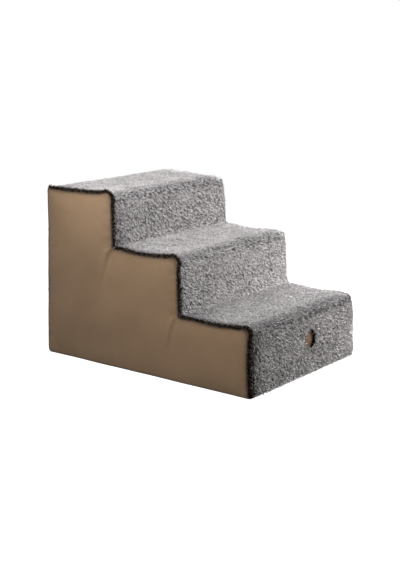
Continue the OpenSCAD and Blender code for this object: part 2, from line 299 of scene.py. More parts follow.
# The taupe sides: smooth matt woven polyester over thin wadding, cut to the stair's profile and sewn in all
# round. The foam behind fills them out, the rim rolls into the seam, and soft folds run down from the inner
# corners, where the cloth is pulled two ways.
side_square = 5 * mm
panel_rim = 4 * mm
panel_spreads = {"left": 8 * mm, "right": 5 * mm}
side_ruffles = ((120 * mm, 2.2 * mm), (45 * mm, 0.7 * mm))
side_settling = 3 * mm
filling_pressure = 1.5
settling_frames = 16
hem_drop = 4.6 * mm
hem_height = 0.8 * mm
spread_reach = 30 * mm
side_crown = 4 * mm
crown_reach = 45 * mm
panel_thickness = 2.4 * mm
thread_pitch = 1.1 * mm
dye_cloud = 120 * mm
taupe_light = "#bb9a78"
taupe_dark = "#b09070"
# Painted seam shade: along the seams the cloth is darkened towards this colour, as the shade in the groove
# where it turns in.
painted_seam_shade = "#3a2c22"
painted_seam_shade_reach = 2.2 * mm
side_painted_shade_reach = 4.5 * mm
side_painted_shade_soft = 0.2
side_painted_shade_soft_reach = 14 * mm
corner_fold = Vector((0, 24 * mm, -84 * mm))
corner_fold_depths = (3 * mm, 6 * mm)
corner_fold_ridge = 0.8
heel_fold = ((-4 * mm, 56 * mm), (-52 * mm, 4 * mm))
heel_fold_depth = 3 * mm
fold_width = 7 * mm
fold_taper = 0.7
fold_top = 0.12
ridge_off = 1.3
valley_ratio = 1.6
pucker_pitch = 13 * mm
pucker_reach = 14 * mm
pucker_depth = 1.6 * mm
sway_length = 70 * mm
sway_depth = 1.1 * mm
sway_seed = 5
noise.seed_set(sway_seed)


def polyester_finish(name, light, dark, roughness=0.72):
    """Plain-woven matt polyester: an even dull cloth with a faint soft lustre and cloudy dye.
    The rim map says how near a seam is; there the colour is painted darker, as the shade where the cloth
    turns in."""
    finish = new_finish(name, {"Roughness": roughness, "Sheen Weight": 0.15, "Sheen Roughness": 0.5})
    clouds = cloudy(finish, dye_cloud, 4)
    rim = add(finish, "Attribute", attribute_name="rim").outputs["Fac"]
    cloth = tint(finish, clouds, [(0.35, dark), (0.65, light)])
    tone = add(finish, "Mix", {"Factor": rim, "A": cloth, "B": (*linear(painted_seam_shade), 1)}, data_type="RGBA")
    threads = cloudy(finish, thread_pitch, 1)
    return lay_on(finish, tone.outputs["Result"], threads, thread_pitch / 6)


def roll_rim(skin, radius):
    """Rolls a skin's rim an eighth of a turn inwards, into the seam."""
    marks = []
    for edge in skin.edges:
        if edge.is_boundary:
            start, end = (vert.co for vert in edge.verts)
            count = max(1, round(edge.calc_length() / mm))
            marks += [start.lerp(end, k / count) for k in range(count)]
    rim = tree_of(marks)
    moves = []
    for vert in skin.verts:
        mark, _, off = rim.find(vert.co)
        if off >= radius:
            continue
        inward = vert.co - mark
        if vert.is_boundary:
            inward = sum((face.calc_center_median() - vert.co for face in vert.link_faces), Vector())
        inward -= inward.project(vert.normal)
        inward.normalize()
        turn = (1 - off / radius) * math.radians(45)
        slid = inward * (radius * (1 - math.sin(turn)) - off)
        moves.append((vert, slid - vert.normal * radius * (1 - math.cos(turn))))
    for vert, move in moves:
        vert.co += move


def press_folds(panel, folds):
    """Presses soft folds into a panel: valleys from a start to an end, some with a low ridge beside them."""
    normals = [vert.normal.copy() for vert in panel.data.vertices]
    for start, end, depth, ridge in folds:
        line = end - start
        for vert, normal in zip(panel.data.vertices, normals):
            share = (vert.co - start).dot(line) / line.length_squared
            if 0 < share < 1:
                aside = (vert.co - start).cross(line.normalized()).dot(normal) / fold_width
                fade = (1 - share) ** fold_taper * min(1, share / fold_top)
                shape = ridge * math.exp(-(aside - ridge_off) ** 2) - math.exp(-(valley_ratio * aside) ** 2)
                vert.co += normal * depth * fade * shape


def pucker(panel, depth):
    """Gathers a panel a little along the seam line."""
    normals = [vert.normal.copy() for vert in panel.data.vertices]
    for vert, normal in zip(panel.data.vertices, normals):
        along, off, _ = near_seam(vert.co)
        wave = noise.noise(Vector((along / pucker_pitch, off / pucker_pitch / 5, vert.co.x)))
        vert.co += normal * depth * wave * math.exp(-(off / pucker_reach) ** 2)


def waver(piece):
    """Moves a piece by the slight unevenness of the whole cover, the same on both sides of a seam. Without
    a seed Blender's vector noise would start from the clock."""
    for vert in piece.data.vertices:
        x, y, z = noise.noise_vector(vert.co / sway_length) * sway_depth
        vert.co += Vector((x / 2, y, z * min(1, vert.co.z / sway_length)))


def rim_of(shape):
    """A tree of places along the open edges of a shape."""
    marks = []
    for edge in shape.edges:
        if edge.is_boundary:
            marks += [edge.verts[0].co.lerp(edge.verts[1].co, k / 3) for k in range(3)]
    return tree_of(marks)


def plump(skin, height, reach):
    """Rounds a skin out from its rim like a pillow."""
    rim = rim_of(skin)
    moves = []
    for vert in skin.verts:
        filled = 1 - math.exp(-rim.find(vert.co)[2] / reach)
        moves.append((vert, vert.normal * height * filled))
    for vert, move in moves:
        vert.co += move


def mark_rim(panel, depth=1, reach=painted_seam_shade_reach, soft=0):
    """Writes a panel's rim map of painted shade: depth at its seams, fading inwards, and a softer, wider
    painted shade.
    """
    shape = bmesh.new()
    shape.from_mesh(panel.data)
    rim = rim_of(shape)
    offs = np.array([rim.find(vert.co)[2] for vert in shape.verts])
    near = depth * np.exp(-(offs / reach) ** 2)
    near += (1 - near) * soft * np.exp(-offs / side_painted_shade_soft_reach)
    shape.free()
    panel.data.attributes.new("rim", "FLOAT", "POINT").data.foreach_set("value", near)


def ruffle(skin, length, height, seed):
    """Gives a skin the faint waves of cloth that isn't drawn tight."""
    for vert in skin.verts:
        wave = noise.noise(vert.co / length + Vector((seed, 0, 0)))
        vert.co += vert.normal * height * wave


def places_of(mesh):
    """The places of a mesh's corners."""
    places = np.zeros(len(mesh.vertices) * 3, np.float32)
    mesh.vertices.foreach_get("co", places)
    return places.reshape(-1, 3)


def settle(piece, reach):
    """Lets cloth that is sewn in all round settle over its filling, by reach at most."""
    shape = bmesh.new()
    shape.from_mesh(piece.data)
    sewn = [vert.index for vert in shape.verts if vert.is_boundary]
    shape.free()
    before = places_of(piece.data)
    piece.vertex_groups.new(name="sewn").add(sewn, 1, "REPLACE")
    cloth = piece.modifiers.new("settling", "CLOTH")
    cloth.settings.vertex_group_mass = "sewn"
    cloth.settings.use_pressure = True
    cloth.settings.uniform_pressure_force = filling_pressure
    cloth.settings.effector_weights.gravity = 0
    for frame_number in range(1, settling_frames + 1):
        scene.frame_set(frame_number)
    settled = piece.evaluated_get(bpy.context.evaluated_depsgraph_get())
    moved = places_of(settled.data) - before
    piece.modifiers.remove(cloth)
    piece.vertex_groups.clear()
    length = np.linalg.norm(moved, axis=1, keepdims=True)
    moved *= np.minimum(1, reach / np.maximum(length, 1e-9))
    piece.data.vertices.foreach_set("co", (before + moved).ravel())
    scene.frame_set(1)


def smooth_out(piece):
    """Smooths the squares of a panel."""
    smooth = piece.modifiers.new("smooth", "SUBSURF")
    smooth.levels = smooth.render_levels = 1


def thicken(piece, thickness):
    """Gives a sheet its thickness, inwards."""
    lining = piece.modifiers.new("lining", "SOLIDIFY")
    lining.thickness = thickness
    lining.offset = -1


taupe_finish = polyester_finish("taupe_woven_polyester", taupe_light, taupe_dark)
sides = {"left": -1, "right": 1}
for hand, facing in sides.items():
    node = "side_panel_" + hand
    low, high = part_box(node)
    face_x = low.x if facing < 0 else high.x
    skin = skin_of(node, lambda face: face.normal.x * facing > squarely, side_square)
    roll_rim(skin, panel_rim)
    plump(skin, side_crown, crown_reach)
    for length, height in side_ruffles:
        ruffle(skin, length, height, facing)
    for vert in skin.verts:
        along, off, out = near_seam(vert.co)
        vert.co -= out * drawn_in(face_x, along) * math.exp(-off / end_reach)
        vert.co += out * panel_spreads[hand] * math.exp(-off / spread_reach)
        vert.co.z -= hem_drop * math.exp(-(vert.co.z - low.z) / spread_reach)
    panel = piece_of(skin, "taupe_side_" + hand, taupe_finish, [node])
    settle(panel, side_settling)
    folds = []
    for corner, depth in zip(inner_corners, corner_fold_depths):
        top = on_steps(face_x, corner, 0)
        folds.append((top, top + corner_fold, depth, corner_fold_ridge))
    heel_start, heel_end = (Vector((face_x, high.y + y, low.z + z)) for y, z in heel_fold)
    folds.append((heel_start, heel_end, heel_fold_depth, 0))
    press_folds(panel, folds)
    pucker(panel, pucker_depth)
    # Painted shade along the side's seams, and a softer, wider painted shade inwards from them.
    mark_rim(panel, reach=side_painted_shade_reach, soft=side_painted_shade_soft)
    waver(panel)
    for vert in panel.data.vertices:
        vert.co.z = max(vert.co.z, hem_height)
    smooth_out(panel)
    thicken(panel, panel_thickness)

# The taupe back: the same polyester in two pieces, an upper one and a lower one that turns under at the
# heel. A slot for the zip is left between them, its edges turned in and held by a row of topstitching.
back_square = 8 * mm
back_ruffles = ((110 * mm, 2.0 * mm, 5), (40 * mm, 0.6 * mm, 6))
back_settling = 2.5 * mm
back_painted_seam_shade = 0.6
slot_rim = 3 * mm
heel_from = 270 * mm
lower_back_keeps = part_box("side_panel_left")[0].z + 14 * mm
tabs_low, tabs_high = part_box("zip_end_tabs")
slot_half = tabs_high.x - 4 * mm
slot_height = (tabs_low.z + tabs_high.z) / 2


def faces_out(face):
    """Whether a face of the back looks backwards, or down at the heel."""
    centre = face.calc_center_median()
    at_heel = centre.z < lower_back_keeps and face.normal.z < -0.03 and centre.y > heel_from
    return face.normal.y > squarely or (at_heel and abs(face.normal.x) < 0.5 and face.normal.y > -0.5)


for half in ("upper", "lower"):
    node = "back_panel_" + half
    skin = skin_of(node, faces_out, back_square)
    roll_rim(skin, slot_rim)
    for vert in skin.verts:
        if abs(vert.co.x) > slot_half and abs(vert.co.z - slot_height) < slot_rim:
            vert.co.z = slot_height
    for length, height, seed in back_ruffles:
        ruffle(skin, length, height, seed)
    panel = piece_of(skin, "taupe_back_" + half, taupe_finish, [node])
    settle(panel, back_settling)
    # Painted shade along the back's seams and round the zip slot.
    mark_rim(panel, back_painted_seam_shade)
    waver(panel)
    smooth_out(panel)
    thicken(panel, panel_thickness)

# The zip: a long coil zip lies in the slot across the back, so that the cover comes off the foam. Its tapes
# are ribbed polyester, its teeth moulded nylon, and its slider, pull and stops nickel-plated die-cast zinc.
tape_square = 3 * mm
tape_thickness = 0.8 * mm
tape_wave = 0.22 * mm
tape_wave_length = 24 * mm
tape_rib = 1.2 * mm
tape_selvedge = 0.3 * mm
# The tape's ribs are painted darker between them as shade and lighter on their crests as highlight.
tape_brown = "#63523f"
tape_crest_painted_highlight = "#7d6a55"
nylon_brown = "#6f5c48"
nylon_deep = "#5b4a39"
nickel = "#c4c0b8"
nickel_worn = "#9f9a90"
casting_grain = 0.35 * mm
nylon_grain = 0.4 * mm


def wavy_finish(name, levels, dark, light, pitch, depth, inputs, way):
    """A finish with ribs of one pitch that follow each other in some way."""
    return patterned_finish(name, levels, [(0.1, dark), (0.8, light)], depth, "TexWave",
                            math.tau / 20 / pitch, inputs=inputs, bands_direction=way)


def ribbon_finish(name, dark, light, rib, roughness, sheen):
    """Woven ribbon: fine ribs that run along it, painted lighter on their crests as highlight and darker
    between them as shade, with a soft lustre.
    """
    levels = {"Roughness": roughness, "Sheen Weight": sheen}
    return wavy_finish(name, levels, dark, light, rib, rib / 5, {"Distortion": 0.6, "Detail": 2}, "Z")


def moulded_finish(name, body, deep, grain, roughness):
    """Moulded plastic or rubber: dull, with the mould's fine even grain and a little colour drift."""
    finish = new_finish(name, {"Roughness": roughness})
    drift = cloudy(finish, 14 * grain, 3)
    spark = cloudy(finish, grain, 2)
    return lay_on(finish, tint(finish, drift, [(0.3, deep), (0.7, body)]), spark, grain / 6)


def plated_finish(name, bright, worn, grain):
    """Nickel plate on die-cast zinc: satin bright, duller and greyer where hands have rubbed it."""
    finish = new_finish(name, {"Metallic": 1.0})
    wear = cloudy(finish, 12 * grain, 5)
    gloss = add(finish, "MapRange", {"Value": wear, "To Min": 0.46, "To Max": 0.28})
    on_surface(finish, {"Roughness": gloss.outputs["Result"]})
    pits = cloudy(finish, grain, 2)
    return lay_on(finish, tint(finish, wear, [(0.35, worn), (0.6, bright)]), pits, grain / 12)


def dress(node, finish):
    """Puts a finish on a CAD node that keeps its own shape."""
    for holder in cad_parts[node].material_slots:
        holder.material = finish


tape_finish = ribbon_finish("ribbed_polyester_tape", tape_brown, tape_crest_painted_highlight, tape_rib, 0.8, 0.15)
nylon_finish = moulded_finish("moulded_nylon_teeth", nylon_brown, nylon_deep, nylon_grain, 0.42)
nickel_finish = plated_finish("satin_nickel_plate", nickel, nickel_worn, casting_grain)
for half in ("upper", "lower"):
    node = "zip_tape_" + half
    skin = skin_of(node, lambda face: face.normal.y > squarely, tape_square)
    low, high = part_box(node)
    for vert in skin.verts:
        wave = noise.noise(Vector((vert.co.x / tape_wave_length, vert.co.z / tape_wave_length / 3, 3)))
        vert.co -= vert.normal * tape_wave * (0.5 + 0.5 * wave)
        from_middle = vert.co.z - slot_height
        if abs(from_middle) < tape_square / 2:
            vert.co.z -= math.copysign(tape_selvedge, from_middle)
    tape = piece_of(skin, "woven_" + node, tape_finish, [node])
    thicken(tape, tape_thickness)
    dress("zip_teeth_" + half, nylon_finish)
for node in ("zip_top_stops", "zip_bottom_stop", "zip_slider", "zip_pull"):
    dress(node, nickel_finish)

# The zip's ends and its topstitching: a folded scrap of the cover's polyester is sewn over each end of the
# zip, and a row of brown lockstitches goes round the slot and holds its turned edges.
tab_edge = 0.6 * mm
stitch_off = 3 * mm
stitch_pitch = 4.4 * mm
top_stitch_length = 3.2 * mm
top_stitch_radius = 0.36 * mm
top_stitch_lift = 0.15 * mm
tab_stitch_count = 4
tab_stitch_pitch = 2.9 * mm
tab_stitch_length = 2.4 * mm
tab_stitch_inset = 4 * mm
tab_slope = 0.1 * mm
# The thread's plies are painted lighter in turn, as highlight.
sewing_thread_dark = "#5d4834"
sewing_thread_painted_highlight = "#7d6650"
thread_twist = 0.5 * mm


def spun_finish(name, dark, light, twist):
    """Spun polyester sewing thread: twisted plies, painted lighter in turn as the highlight each one
    catches.
    """
    levels = {"Roughness": 0.6, "Sheen Weight": 0.2}
    return wavy_finish(name, levels, dark, light, twist, twist / 4, {"Distortion": 1}, "DIAGONAL")


def lay_stitch(shape, place, along, out, length, radius):
    """Lays one stitch: a short bar of thread that is pulled down at both its ends."""
    aside = out.cross(along).normalized()
    turned = Matrix((along.normalized(), aside, out.normalized())).transposed().to_4x4()
    long = Matrix.Diagonal((length / 2 / radius, 1, 0.8, 1)) @ Matrix.Rotation(math.pi / 2, 4, "Y")
    bmesh.ops.create_uvsphere(shape, u_segments=6, v_segments=4, radius=radius,
                              matrix=Matrix.Translation(place) @ turned @ long)


sewing_thread = spun_finish("brown_spun_thread", sewing_thread_dark, sewing_thread_painted_highlight, thread_twist)
tabs = skin_of("zip_end_tabs")
soften_edges(tabs, tab_edge, 3)
piece_of(tabs, "folded_zip_end_tabs", taupe_finish, ["zip_end_tabs"])

slot_centre = (tabs_low + tabs_high) / 2
row_half = (tabs_high.x - tabs_low.x) / 2 + stitch_off
row_high = (tabs_high.z - tabs_low.z) / 2 + stitch_off
bpy.context.view_layer.update()
depsgraph = bpy.context.evaluated_depsgraph_get()
back_halves = [bpy.data.objects["taupe_back_" + half].evaluated_get(depsgraph)
               for half in ("upper", "lower")]
well_behind = 60 * mm


def on_back_panels(x, z):
    """The place on the back's outer face at x and z, and the way out there."""
    for half in back_halves:
        found, place, normal, _ = half.ray_cast(Vector((x, slot_centre.y + well_behind, z)), (0, -1, 0))
        if found:
            return place, normal
    return None, None


topstitching = bmesh.new()
rows = [((-row_half, side * row_high), (row_half, side * row_high)) for side in (-1, 1)]
rows += [((side * row_half, -row_high), (side * row_half, row_high)) for side in (-1, 1)]
for start, end in rows:
    start, end = Vector(start), Vector(end)
    count = round((end - start).length / stitch_pitch)
    for k in range(count):
        x, z = start.lerp(end, (k + 0.5) / count)
        place, out = on_back_panels(x, slot_centre.z + z)
        if place:
            way = Vector((end.x - start.x, 0, end.y - start.y)).normalized()
            way -= way.project(out)
            place += out * top_stitch_lift
            lay_stitch(topstitching, place, way, out, top_stitch_length, top_stitch_radius)
for side in (-1, 1):
    for k in range(tab_stitch_count):
        up = k - (tab_stitch_count - 1) / 2
        x = side * (row_half - stitch_off - tab_stitch_inset)
        y = slot_centre.y + (tabs_high.y - tabs_low.y) / 2 - up * tab_slope
        place = Vector((x, y, slot_centre.z + up * tab_stitch_pitch))
        lay_stitch(topstitching, place, Vector((0, 0, 1)), Vector((0, 1, 0)), tab_stitch_length,
                   top_stitch_radius)
piece_of(topstitching, "zip_topstitching", sewing_thread)

# The care label: a bare satin ribbon, its end caught in the seam at the foot of the back. It lies on the
# cloth and its free end curls away a little.
label_square = 2 * mm
label_thickness = 0.25 * mm
label_clear = 0.3 * mm
label_curl = 3.2 * mm
label_curl_power = 2.4
label_wave = 0.5 * mm
label_wave_length = 12 * mm
# The label's ribs are painted darker between them as shade and lighter on their crests as highlight.
label_white = "#efebe3"
label_rib_painted_shade = "#d9d4ca"
satin_thread = 0.7 * mm
label_finish = ribbon_finish("white_satin_ribbon", label_rib_painted_shade, label_white, satin_thread, 0.42, 0.1)
skin = skin_of("care_label", lambda face: face.normal.y > squarely, label_square)
label_low, label_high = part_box("care_label")
for vert in skin.verts:
    share = (vert.co.x - label_low.x) / (label_high.x - label_low.x)
    up = (vert.co.z - label_low.z) / (label_high.z - label_low.z)
    place, out = on_back_panels(vert.co.x, vert.co.z)
    curl = label_curl * share ** label_curl_power * (0.75 + 0.25 * up)
    wave = label_wave * noise.noise(vert.co / label_wave_length) * min(1, 3 * share)
    lift = label_thickness + label_clear + curl + wave
    vert.co.y = (place.y if place else vert.co.y) + lift
label = piece_of(skin, "bare_care_label", label_finish, ["care_label"])
thicken(label, label_thickness)

# The base: a coarse dark nonwoven sheet, sewn in between the front panel and the heel, flat under the foam.
# Dots of soft black rubber are moulded on its underside, so that the stairs don't slip.
base_dark = "#39332f"
base_light = "#4a433e"
base_square = 16 * mm
base_thickness = 1.5 * mm
rubber_black = "#262423"
rubber_grey = "#34312f"
rubber_grain = 0.6 * mm
base_finish = polyester_finish("dark_woven_base", base_light, base_dark, roughness=0.9)
skin = skin_of("base_panel", lambda face: face.normal.z < -squarely, base_square)
base = piece_of(skin, "base_sheet", base_finish, ["base_panel"])
# Painted shade along the base's seams.
mark_rim(base)
thicken(base, base_thickness)
dress("grip_dots", moulded_finish("black_matt_rubber", rubber_black, rubber_grey, rubber_grain, 0.85))

# The plush: grey sherpa with a knitted base and a long curly pile, one panel over each riser and tread. The
# pile is grown lock by lock on the knit, flatter and more even on the treads. Its roots, a line under the
# nosings where it parts, and its left edge are painted darker as shade, and treads and risers are painted
# darker or lighter for how light falls on them.
pile_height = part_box("edge_binding_left")[1].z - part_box("side_panel_left")[1].z
lock_height = 2.4 * mm
knit_lift = pile_height - lock_height
knit_square = 5.4 * mm
knit_lumps = 1.1 * mm
lump_length = 30 * mm
knit_settling = 2.5 * mm
knit_lining = 1 * mm
# The knit's grey is the backing's own colour, darkened as painted shade between the locks.
knit_grey_and_painted_shade = "#3b393a"
lock_length = 8.6 * mm
lock_width = 1.75 * mm
lock_curl = math.radians(90)
lock_lean = math.radians(22)
lean_scatter = math.radians(10)
lock_scatter = math.radians(40)
lock_rings = 3
nap = np.array([0.5, -0.35, -1.0])
nap_swirl = 0.2
swirl_length = 45 * mm
# The roots' colour is painted shade, deep in the pile between the locks.
pile_root_painted_shade = "#2e2118"
pile_middle = "#a4a1a4"
pile_tip = "#f0eceb"
shade_share = 0.6
height_share = 0.85
clump_length = 9 * mm
clump_shade = 0.1
clump_size = 0.15
size_scatter = 0.12
size_ends = (0.65, 1.3)
patch_length = 55 * mm
patch_shade = 0.14
shade_low = -0.35
shade_high = 1.1
root_scatter = 1.0 * mm
root_depth = 0.5 * mm
tread_from = 0.7
tread_lean = math.radians(58)
tread_unevenness = 0.11
# Tones of the locks by tread and by riser: painted light and shade for how light falls on them.
tread_painted_shade = 0.12
riser_painted_light = {"low": 0.55, "middle": 1.0, "top": 0.7}
riser_unevenness = {"low": 0.48, "middle": 0.85, "top": 0.7}
# How much painted shade darkens the roots on the treads and on each riser.
tread_root_painted_shade = 0.3
riser_root_painted_shades = {"low": 1, "middle": 0.8, "top": 0.95}
parting_off = 8 * mm
parting_reach = 3 * mm
parting_painted_shade = 0.5
left_edge_painted_shade_depth = 0.7
left_edge_painted_shade_reach = 10 * mm
well_margin = 0.8 * mm
well_clear = 2.6 * mm
pile_floor = 0.4 * mm
pile_seed = 12
rng = np.random.default_rng(pile_seed)


def rolled(a, flat_half, lift):
    """How far across and how high a point lies that is a from the middle of a strip with rolled edges."""
    if abs(a) <= flat_half:
        return a, lift
    turn = (abs(a) - flat_half) / lift
    return math.copysign(flat_half + lift * math.sin(turn), a), lift * math.cos(turn)


def knit_panel(start, end, seed):
    """The knit of one plush panel, folded over its riser and tread. The top one rolls down at the back."""
    wide = 2 * (knit_flat_half + knit_lift * math.pi / 2)
    back_edge = stations[-1] - knit_lift
    if end > back_edge:
        end += knit_lift * (math.pi / 2 - 1)
    across = round(wide / knit_square)
    up = round((end - start) / knit_square)
    knit = bmesh.new()
    bmesh.ops.create_grid(knit, x_segments=across, y_segments=up, size=0.5)
    for vert in knit.verts:
        along = start + (vert.co.y + 0.5) * (end - start)
        x, lift = rolled(vert.co.x * wide, knit_flat_half, knit_lift)
        lift += noise.noise(Vector((x, along, seed)) / lump_length) * knit_lumps
        if along > back_edge:
            turn = (along - back_edge) / knit_lift
            along = back_edge + knit_lift * math.sin(turn)
            lift *= math.cos(turn)
        vert.co = on_steps(x, along, lift)
    knit.normal_update()
    return knit


def sherpa_finish(name, root, middle, tip, gloss):
    """Sherpa pile: crimped matt fibres, with painted shade dark down at the knit and pale at the tips.
    The pile's own map holds each lock's shade (across) and the way up the lock (up), which paints the roots'
    shade."""
    finish = new_finish(name, {"Roughness": 0.9, "Specular IOR Level": gloss, "Sheen Weight": gloss / 2,
                               "Sheen Roughness": 0.4})
    pile = add(finish, "UVMap", uv_map="OFBake")
    parts = add(finish, "SeparateXYZ", {"Vector": pile.outputs["UV"]})
    height = add(finish, "Math", {0: parts.outputs["Y"], 1: height_share}, operation="MULTIPLY")
    shade = add(finish, "Math", {0: parts.outputs["X"], 1: shade_share, 2: height.outputs[0]},
                operation="MULTIPLY_ADD")
    tone = tint(finish, shade.outputs[0], [(0.15, root), (0.95, tip), (0.52, middle)])
    on_surface(finish, {"Base Color": tone})
    return finish


def round_node(node):
    """The centre and the radius of a round CAD node."""
    low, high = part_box(node)
    return (low + high) / 2, (high.x - low.x) / 2


def make_lock(length, width, curl, rings):
    """One lock of pile, on the origin: it widens, narrows to a point and curls over."""
    lock = bmesh.new()
    bmesh.ops.create_cone(lock, cap_ends=True, cap_tris=True, segments=3, radius1=width / 2, radius2=0,
                          depth=length)
    bmesh.ops.translate(lock, vec=(0, 0, length / 2), verts=lock.verts)
    for k in range(1, rings):
        bmesh.ops.bisect_plane(lock, geom=[*lock.verts, *lock.edges, *lock.faces], dist=weld,
                               plane_co=(0, 0, length * k / rings), plane_no=(0, 0, 1))
    bmesh.ops.triangulate(lock, faces=lock.faces)
    heights = []
    for vert in lock.verts:
        share = vert.co.z / length
        heights.append(share)
        fuller = 0.55 + 2 * share
        turn = curl * share
        middle = Vector(((1 - math.cos(turn)) * length / curl, 0, math.sin(turn) * length / curl))
        ring = Matrix.Rotation(turn, 3, "Y") @ Vector((vert.co.x * fuller, vert.co.y * fuller, 0))
        vert.co = middle + ring
    corners = np.array([vert.co for vert in lock.verts])
    faces = np.array([[vert.index for vert in face.verts] for face in lock.faces])
    lock.free()
    return corners, faces, np.array(heights)


def waves_at(places, length):
    """A smooth random wave's heights at some places."""
    return np.array([noise.noise(Vector(place) / length) for place in places])


def grow_pile(name, finish, roots, ups, lock, lean, scatter, shade, size, root_painted_shade=1):
    """Grows a lock on every root, all in one piece. root_painted_shade says how much painted shade darkens
    their roots, 1 in full.
    """
    corners, faces, heights = lock
    count = len(roots)
    fall = nap - (ups @ nap)[:, None] * ups
    fall /= np.maximum(np.linalg.norm(fall, axis=1, keepdims=True), 1e-6)
    swirl = waves_at(roots, swirl_length) * nap_swirl
    turn = (rng.normal(0, 1, count) * scatter + swirl)[:, None]
    fall = fall * np.cos(turn) + np.cross(ups, fall) * np.sin(turn)
    tilt = (lean + rng.normal(0, 1, count) * lean_scatter)[:, None]
    rise = ups * np.cos(tilt) + fall * np.sin(tilt)
    front = fall * np.cos(tilt) - ups * np.sin(tilt)
    aside = np.cross(rise, front)
    size = size[:, None, None]
    places = (
        corners[None, :, 0:1] * front[:, None]
        + corners[None, :, 1:2] * aside[:, None]
        + corners[None, :, 2:3] * rise[:, None]
    ) * size + roots[:, None]
    places[..., 2] = np.maximum(places[..., 2], pile_floor)
    every_face = (faces[None] + (np.arange(count) * len(corners))[:, None, None]).reshape(-1, 3)
    mesh = bpy.data.meshes.new(name)
    mesh.from_pydata(places.reshape(-1, 3), [], every_face)
    pile = mesh.uv_layers.new(name="OFBake")
    ups_of_corners = np.tile(1 - root_painted_shade * (1 - heights[faces].ravel()), count)
    spots = np.stack([np.repeat(shade, faces.size), ups_of_corners], 1)
    pile.data.foreach_set("uv", spots.astype(np.float32).ravel())
    object_of(mesh, name, finish)


def faces_of(piece):
    """Centres and normals of a piece's faces, modifiers included."""
    final = piece.evaluated_get(bpy.context.evaluated_depsgraph_get()).data
    count = len(final.polygons)
    centres, normals = np.zeros(count * 3), np.zeros(count * 3)
    final.polygons.foreach_get("center", centres)
    final.polygons.foreach_get("normal", normals)
    return centres.reshape(-1, 3), normals.reshape(-1, 3)


knit_finish = polyester_finish("grey_knitted_base", knit_grey_and_painted_shade, knit_grey_and_painted_shade, roughness=1.0)
pile_finish = sherpa_finish("grey_sherpa_pile", pile_root_painted_shade, pile_middle, pile_tip, 0.3)
lock = make_lock(lock_length, lock_width, lock_curl, lock_rings)
panel_ends = [stations[0], *inner_corners, stations[-1]]
badge_centre, badge_radius = round_node("badge_felt")
well_radius = badge_radius + well_margin
for k, step in enumerate(("low", "middle", "top")):
    knit = knit_panel(panel_ends[k], panel_ends[k + 1], 10 * k)
    if step == "low":
        under_badge = [face for face in knit.faces
                       if (face.calc_center_median() - badge_centre).length < well_radius]
        bmesh.ops.delete(knit, geom=under_badge, context="FACES")
        for vert in knit.verts:
            from_badge = vert.co - badge_centre
            if vert.is_boundary and from_badge.length < 2 * well_radius:
                from_badge -= from_badge.project(vert.normal)
                vert.co += from_badge.normalized() * (well_radius - from_badge.length)
    panel = piece_of(knit, "knit_" + step, knit_finish, ["plush_panel_" + step])
    settle(panel, knit_settling)
    waver(panel)
    smooth_out(panel)
    bpy.context.view_layer.update()
    roots, ups = faces_of(panel)
    thicken(panel, knit_lining)
    grows = (ups[:, 0] > -0.6) & (ups[:, 0] < 0.97)
    from_well = roots - np.array(badge_centre) + nap * well_clear
    grows &= np.linalg.norm(from_well, axis=1) > well_radius + well_clear
    roots, ups = roots[grows], ups[grows]
    count = len(roots)
    roots = roots + rng.normal(0, root_scatter, (count, 3)) * (1 - np.abs(ups)) - ups * root_depth
    clumps = waves_at(roots, clump_length)
    along = np.array([near_seam(Vector(root))[0] for root in roots])
    # Painted shade in a line under each nosing, where the pile parts and shows its roots.
    parting = np.exp(-((along - nosings[k] + parting_off) / parting_reach) ** 2)
    # Painted shade along the left edge, the side away from the lamps; on the low riser it is painted twice
    # as deep.
    from_left = roots[:, 0] + knit_flat_half
    left_edge_painted_shade = np.exp(-np.maximum(from_left, 0) / left_edge_painted_shade_reach)
    on_tread = ups[:, 2] > tread_from
    unevenness = np.where(on_tread, tread_unevenness, riser_unevenness[step])
    shade = (rng.normal(0, 1, count) + clump_shade * clumps) * unevenness
    patches = waves_at(roots, patch_length)
    # Painted light and shade: the treads' locks are painted darker and the risers' lighter, each riser to
    # its own level, with random patches on top.
    shade += np.where(on_tread, tread_painted_shade, riser_painted_light[step]) + patch_shade * patches
    shade -= parting_painted_shade * parting * (0.8 + 2 * clumps) + left_edge_painted_shade_depth * left_edge_painted_shade
    if step == "low":
        shade -= np.where(on_tread, 0, left_edge_painted_shade_depth * left_edge_painted_shade)
    shade = np.clip(shade, shade_low, shade_high)
    size = np.clip(1 + size_scatter * rng.normal(0, 1, count) + clump_size * clumps, *size_ends)
    parts = (
        ("tread", on_tread, tread_lean, tread_root_painted_shade),
        ("riser", ~on_tread, lock_lean, riser_root_painted_shades[step]),
    )
    for part, mask, lean, root_painted_shade in parts:
        grow_pile(f"pile_{step}_{part}", pile_finish, roots[mask], ups[mask], lock, lean,
                  lock_scatter, shade[mask], size[mask], root_painted_shade)

# The dark edge of the plush: its cut edge is turned in with the seam, and the roots of the pile show there
# as a narrow fuzzy roll of near-black brown along both sides of the whole flight. On the left, away from
# the lamps, more of it shows and the strands over it are darker, as painted shade.
binding_radius = 3.9 * mm
tread_binding_radius = 3.0 * mm
